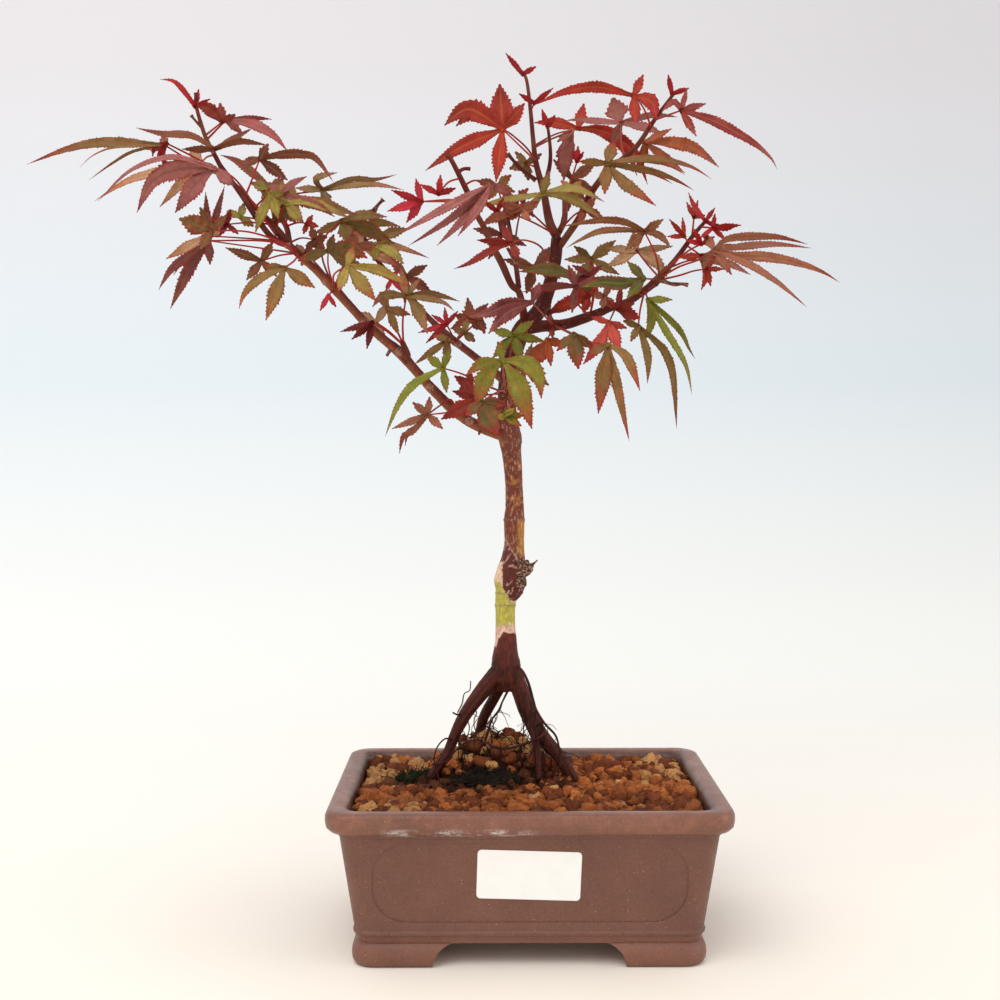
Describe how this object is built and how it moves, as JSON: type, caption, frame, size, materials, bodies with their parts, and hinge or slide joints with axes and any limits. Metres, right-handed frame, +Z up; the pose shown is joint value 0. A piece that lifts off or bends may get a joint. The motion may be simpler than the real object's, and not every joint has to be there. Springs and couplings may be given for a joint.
{
  "type": "potted bonsai tree",
  "caption": "Small broom-style maple bonsai with narrow red, green and purple leaves on exposed stilt roots in a rectangular footed clay pot.",
  "frame": {"origin": "on the ground under the middle of the whole tree and pot, seen from above", "axes": "+Z up, +X to the right along the pot's long front wall as seen from the front, +Y from the labelled front wall to the back"},
  "size_m": [0.393, 0.1654, 0.4629],
  "materials": {
    "pot_clay": "unglazed brown stoneware, satin sheen on the rim, small mineral specks and deposits",
    "screen_plastic": "dull dark plastic",
    "soil_granules": "dry baked clay granules, orange brown with paler ones",
    "moss": "soft dark moss",
    "peat": "fibrous black peat",
    "label_paper": "smooth white sticker",
    "bark": "red brown root bark, green brown stem bark with pale vertical cracks",
    "left_tip_spray_blades": "thin matt leaf blades on slender stalks",
    "left_inner_spray_blades": "thin matt leaf blades on slender stalks",
    "left_elbow_leaves_blades": "thin matt leaf blades on slender stalks",
    "left_node_leaves_blades": "thin matt leaf blades on slender stalks",
    "low_left_shoot_blades": "thin matt leaf blades on slender stalks",
    "low_left_leaf_blades": "thin matt leaf blades on slender stalks",
    "second_left_spray_blades": "thin matt leaf blades on slender stalks",
    "fork_front_leaves_blades": "thin matt leaf blades on slender stalks",
    "right_branch_inner_leaves_blades": "thin matt leaf blades on slender stalks",
    "right_branch_outer_leaves_blades": "thin matt leaf blades on slender stalks",
    "right_knot_low_leaves_blades": "thin matt leaf blades on slender stalks",
    "right_knot_high_leaves_blades": "thin matt leaf blades on slender stalks",
    "right_tip_spray_blades": "thin matt leaf blades on slender stalks",
    "branch_mid_leaves_blades": "thin matt leaf blades on slender stalks",
    "trunk_top_leaves_blades": "thin matt leaf blades on slender stalks",
    "inner_left_spray_blades": "thin matt leaf blades on slender stalks",
    "leader_spray_blades": "thin matt leaf blades on slender stalks",
    "top_right_spray_blades": "thin matt leaf blades on slender stalks"
  },
  "bodies": {
    "root": {"pot": "pot_clay", "drainage_screen_left": "screen_plastic", "drainage_screen_right": "screen_plastic", "soil_bed": "soil_granules", "moss_clump": "moss", "peat_strip": "peat", "label": "label_paper", "tree_wood": "bark", "left_tip_spray": "left_tip_spray_blades", "left_inner_spray": "left_inner_spray_blades", "left_elbow_leaves": "left_elbow_leaves_blades", "left_node_leaves": "left_node_leaves_blades", "low_left_shoot": "low_left_shoot_blades", "low_left_leaf": "low_left_leaf_blades", "second_left_spray": "second_left_spray_blades", "fork_front_leaves": "fork_front_leaves_blades", "right_branch_inner_leaves": "right_branch_inner_leaves_blades", "right_branch_outer_leaves": "right_branch_outer_leaves_blades", "right_knot_low_leaves": "right_knot_low_leaves_blades", "right_knot_high_leaves": "right_knot_high_leaves_blades", "right_tip_spray": "right_tip_spray_blades", "branch_mid_leaves": "branch_mid_leaves_blades", "trunk_top_leaves": "trunk_top_leaves_blades", "inner_left_spray": "inner_left_spray_blades", "leader_spray": "leader_spray_blades", "top_right_spray": "top_right_spray_blades"}
  },
  "joints": []
}
